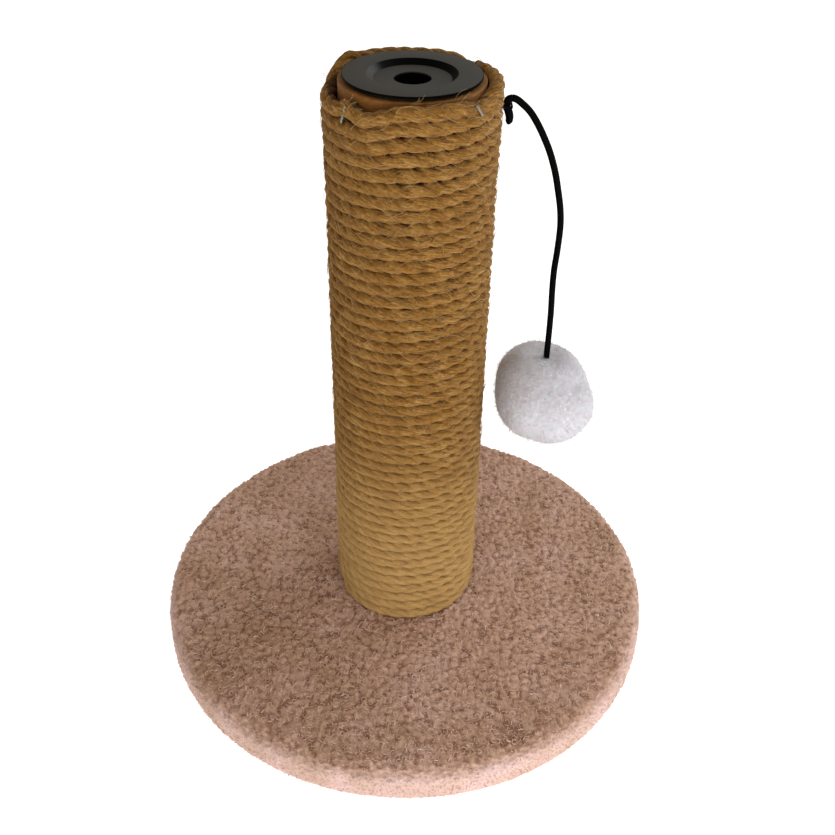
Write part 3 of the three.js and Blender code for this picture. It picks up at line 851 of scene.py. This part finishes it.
def fuzz_tree(material, seed):
    """Scatters loose bent fibres over the outer side of the turns."""
    tree, sizes = shaping("fuzz", **{"Fibre Length": 0.0075, "Fibre Radius": 0.00008, "Amount": 125000.0})
    place = own_place(tree)
    _, y, z = split_up(tree, place)
    # none on top of the last turn behind, where they would stand up against the cap
    behind_cap = maths(tree, "MULTIPLY", maths(tree, "GREATER_THAN", z, rope_top - 0.005),
                       maths(tree, "GREATER_THAN", y, -0.025))
    in_the_open = maths(tree, "GREATER_THAN", attribute(tree, "open"), 0.45)
    open_face = maths(tree, "SUBTRACT", in_the_open, behind_cap)
    spread = node(tree, "GeometryNodeDistributePointsOnFaces", {
        0: sizes["Geometry"], "Selection": maths(tree, "GREATER_THAN", open_face, 0.5),
        "Density": sizes["Amount"], "Seed": seed}, distribute_method="RANDOM")
    kinds = node(tree, "GeometryNodeJoinGeometry")
    length = sizes["Fibre Length"]
    for bend_side, bend_up in ((0.25, 0.05), (-0.3, 0.08), (0.12, 0.14), (-0.12, 0.03), (0.45, 0.04)):
        middle = scaled(tree, (0.5, bend_side, bend_up), length)
        end = scaled(tree, (1.0, 0.0, bend_up * 0.3), length)
        bow = node(tree, "GeometryNodeCurveQuadraticBezier",
                   {"Resolution": 4, "Start": (0, 0, 0), "Middle": middle, "End": end}).outputs[0]
        fibre = thread_along(tree, bow, sizes["Fibre Radius"], 3)
        kind = node(tree, "GeometryNodeGeometryToInstance", {0: fibre})
        tree.links.new(kind.outputs[0], kinds.inputs[0])
    out = vectors(tree, "NORMALIZE", level_part(tree, place))
    along = vectors(tree, "CROSS_PRODUCT", (0, 0, 1), out)
    facing = node(tree, "FunctionNodeAlignRotationToVector", {"Vector": out}, axis="Z").outputs[0]
    lying = node(tree, "FunctionNodeAlignRotationToVector", {0: facing, "Vector": along}, axis="X",
                 pivot_axis="Z").outputs[0]
    strewn = turned_further(tree, lying, chances(tree, (-0.2, -0.06, -1.0), (0.2, 0.08, 0.8), seed + 1))
    placed = strewn_over(tree, spread.outputs["Points"], kinds.outputs[0], strewn,
                         chance(tree, 0.3, 1.35, seed + 2), **{"Pick Instance": True})
    shades = stored(tree, placed, "pale", chance(tree, 0.0, 0.75, seed + 3), domain="INSTANCE")
    real = node(tree, "GeometryNodeRealizeInstances", {0: shades})
    ended(tree, stored(tree, real.outputs[0], "open", 1.0), material)
    return tree


jute_fibre = jute()
twist = rope_tree(jute_fibre)
halves = 2
for rope, start_turn, starts_in_front, end_pass, taper in (
        ("first", end_turn, True, passes - 0.15, back_end_taper),
        ("second", end_turn + math.pi, False, passes + 0.1, front_end_taper)):
    for half in range(halves):
        first, last = end_pass * half / halves, end_pass * (half + 1) / halves
        line = line_object(f"{rope}_line", *rope_line(start_turn, first, last, starts_in_front, taper))
        turns = shaped(twist, line, f"{rope}_rope_{half + 1}")
        loose = fuzz_tree(jute_fibre, 11 + 5 * half)
        fuzz = shaped(loose, turns, f"{rope}_rope_{half + 1}_fibres", keep=True)
        for piece in (turns, fuzz):
            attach(piece, "post")
            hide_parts("rope_winding")

# ---- Rope and cord staples -----------------------------------------------------------------
# Thin zinc-plated wire staples driven through the turns into the tube, and a black one driven
# over the cord's fold.
dress(steel, *sorted(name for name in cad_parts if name.startswith("rope_") and "staple" in name))
dress(cord.data.materials[0], "cord_staple")

# ---- Cord's fixed end ----------------------------------------------------------------------
# The cord folds down behind its staple, which holds it to the post, and its cut end hangs a
# centimetre, swollen where its threads have sprung apart.
tail_route = [
    (-0.0001, 0), (-0.0006, 0), (-0.0014, -0.00018), (-0.00205, -0.0006), (-0.00248, -0.00126),
    (-0.00265, -0.00205), (-0.0026, -0.004), (-0.0018, -0.0058), (-0.0009, -0.0092), (-0.0013, -0.0126),
]
tail_line = smooth_line([(cord_root.x + x, 0, cord_root.z + z) for x, z in tail_route], 0.0004)
tail_share = np.linspace(0, 1, len(tail_line))
swollen = 1 + 0.16 * np.sin(np.pi * np.clip(tail_share * 1.25 - 0.2, 0, 1))
rounded_off = np.sqrt(np.clip((1.02 - tail_share) / 0.12, 0.06, 1))
tail = swept("cord_stub", tail_line, cord_radius * swollen * rounded_off, cord_sides)
tail.data.materials.append(cord.data.materials[0])
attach(tail, "post")
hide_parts("cord_tail")

# ---- Pompom --------------------------------------------------------------------------------
# A soft ball of fine white polyester pile, trimmed unevenly, with a dimple where the cord goes
# in. Glints of a few fibre ends are painted on it in white. The cord's knot is buried in its middle.
ball_low, ball_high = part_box("pompom")
ball_centre = (ball_low + ball_high) / 2
ball_radius = (ball_high.x - ball_low.x) / 2
dimple_reach = 0.017
dimple_sink = 0.0052
pile_depth = 0.0008
# The ball's uneven outline from the camera: degrees anticlockwise from its right, and radii in mm.
outline = [
    (0, 28.1), (7, 26.6), (35, 26.8), (52, 27.5), (78, 28.5), (93, 30.2), (119, 30.7), (132, 31.0),
    (144, 30.4), (166, 28.0), (191, 27.8), (229, 29.0), (255, 28.1), (284, 30.6), (299, 31.7),
    (312, 30.8), (324, 32.1), (336, 31.2),
]


def pompom_ball():
    """A ball swelled to the outline that the camera sees, its top drawn in where the cord enters."""
    shape = bmesh.new()
    bmesh.ops.create_icosphere(shape, subdivisions=7, radius=1)
    made = bpy.data.meshes.new("ball_plain")
    shape.to_mesh(made)
    shape.free()
    points = np.zeros(len(made.vertices) * 3, np.float32)
    made.vertices.foreach_get("co", points)
    points = points.reshape(-1, 3).astype(float)
    to_right, to_up = points @ np.array(camera_right), points @ np.array(camera_up)
    angle = np.degrees(np.arctan2(to_up, to_right)) % 360
    degrees, radii = zip(*outline)
    soft = sum(np.interp(angle + shift, degrees, radii, period=360) for shift in (-8, -4, 0, 4, 8)) / 5
    swell = 1 + (soft / 1000 / ball_radius - 1) * smooth(np.hypot(to_right, to_up))
    points *= (swell * (ball_radius - pile_depth))[:, None]
    from_axis = np.hypot(points[:, 0], points[:, 1])
    points[:, 2] -= dimple_sink * (1 - smooth(from_axis / dimple_reach)) * (points[:, 2] > 0)
    points += np.array(ball_centre)
    made.vertices.foreach_set("co", points.astype(np.float32).ravel())
    made.update()
    placed = bpy.data.objects.new("ball_plain", made)
    scene.collection.objects.link(placed)
    return placed


def white_pile():
    """White polyester, cool where the light falls, with painted glints on a few fibre ends."""
    material, tree, shader = surface("white_pile", Roughness=0.85, Specular_IOR_Level=0.25,
                                     Sheen_Weight=0.3, Sheen_Roughness=0.4, Subsurface_Weight=0.25,
                                     Subsurface_Scale=0.004)
    place = object_place(tree)
    tufts = grain(tree, place, 420, 4, 0.65)
    clouds = grain(tree, place, 60, 2)
    white = ramp(tree, maths(tree, "MULTIPLY_ADD", tufts, 0.6, maths(tree, "MULTIPLY", clouds, 0.4)),
                 (0.3, (0.515, 0.51, 0.535)), (0.5, (0.58, 0.58, 0.63)), (0.7, (0.63, 0.635, 0.695)))
    # painted highlight: tiny spots are painted pure white as glints of fibre ends
    painted_glint = eased(tree, grain(tree, place, 1300, 0), 0.76, 0.8)
    colour_with(tree, shader, mixed_colour(tree, painted_glint, white, (1, 1, 1, 1)))
    bumped(tree, shader, tufts, 0.0006, 0.6)
    return material


def ball_tree(material):
    """Raises soft lumps and small tufts over the ball."""
    tree, sizes = shaping("pile ball", Lump=0.0011, Tuft=0.0007)
    place = own_place(tree)
    lumps = maths(tree, "SUBTRACT", grain(tree, place, 95.0, 2.0, 0.5), 0.55)
    tufts = maths(tree, "SUBTRACT", grain(tree, place, 520.0, 3.0, 0.5), 0.5)
    rise = maths(tree, "ADD", maths(tree, "MULTIPLY", lumps, sizes["Lump"]),
                 maths(tree, "MULTIPLY", tufts, sizes["Tuft"]))
    outward = node(tree, "GeometryNodeInputNormal").outputs[0]
    ended(tree, moved_by(tree, sizes["Geometry"], scaled(tree, outward, rise)), material)
    return tree


def down_tree(material, seed):
    """Short fine fibres all over the ball, lying every way."""
    tree, sizes = shaping("down", **{"Fibre Length": 0.0019, "Fibre Radius": 0.00006, "Amount": 620000.0})
    spread = node(tree, "GeometryNodeDistributePointsOnFaces",
                  {0: sizes["Geometry"], "Density": sizes["Amount"], "Seed": seed},
                  distribute_method="RANDOM")
    middle = scaled(tree, (0.25, 0.0, 0.6), sizes["Fibre Length"])
    end = scaled(tree, (0.6, 0.0, 1.0), sizes["Fibre Length"])
    stem = node(tree, "GeometryNodeCurveQuadraticBezier",
                {"Resolution": 2, "Start": (0, 0, 0), "Middle": middle, "End": end}).outputs[0]
    fibre = thread_along(tree, stem, sizes["Fibre Radius"], 3)
    strewn = turned_further(tree, spread.outputs["Rotation"],
                            chances(tree, (-0.9, -0.9, 0), (0.9, 0.9, 6.28), seed + 1))
    placed = strewn_over(tree, spread.outputs["Points"], fibre, strewn, chance(tree, 0.4, 1.2, seed + 2))
    ended(tree, placed, material)
    return tree


pile_white = white_pile()
pompom = shaped(ball_tree(pile_white), pompom_ball(), "pompom_ball")
pompom_down = shaped(down_tree(pile_white, 21), pompom, "pompom_down", keep=True)
for piece in (pompom, pompom_down):
    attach(piece, "toy")
    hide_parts("pompom")
dress(cord.data.materials[0], "cord_knot")

# ---- Floor and light -----------------------------------------------------------------------
# A plain white floor under soft warm light all round, one broad low light from the front right
# and a small cool one from the right, above and behind.
reach = 4.0
corners = [(-reach, -reach, 0), (reach, -reach, 0), (reach, reach, 0), (-reach, reach, 0)]
floor = object_of("floor", corners, [(0, 1, 2, 3)])
floor_paint, _, floor_shader = surface("floor_paint", Roughness=0.9, Specular_IOR_Level=0.1)
floor_shader.inputs["Base Color"].default_value = (0.9, 0.9, 0.9, 1)
floor_shader.inputs["Emission Color"].default_value = (1, 1, 1, 1)
floor_shader.inputs["Emission Strength"].default_value = 0.78
floor.data.materials.append(floor_paint)

world = bpy.data.worlds.new("soft_room")
scene.world = world
world.use_nodes = True
world.node_tree.nodes["Background"].inputs["Color"].default_value = (1, 0.91, 0.8, 1)
world.node_tree.nodes["Background"].inputs["Strength"].default_value = 0.5


def soft_light(name, place, aim, width, height, power, colour):
    """A rectangle of light of so many metres and watts, aimed at a point."""
    lamp = bpy.data.lights.new(name, "AREA")
    lamp.shape = "RECTANGLE"
    lamp.size = width
    lamp.size_y = height
    lamp.energy = power
    lamp.color = colour
    made = bpy.data.objects.new(name, lamp)
    made.location = place
    made.rotation_euler = (Vector(aim) - Vector(place)).to_track_quat("-Z", "Y").to_euler()
    scene.collection.objects.link(made)


soft_light("front_light", (0.4, -0.95, 0.2), (0, 0, 0.05), 0.9, 0.4, 5.6, (1, 0.99, 1))
soft_light("side_light", (0.5, 0.3, 0.6), (0.1, 0, 0), 0.4, 0.4, 2.0, (0.87, 0.95, 1))

scene.view_settings.view_transform = "Standard"
scene.view_settings.look = "None"
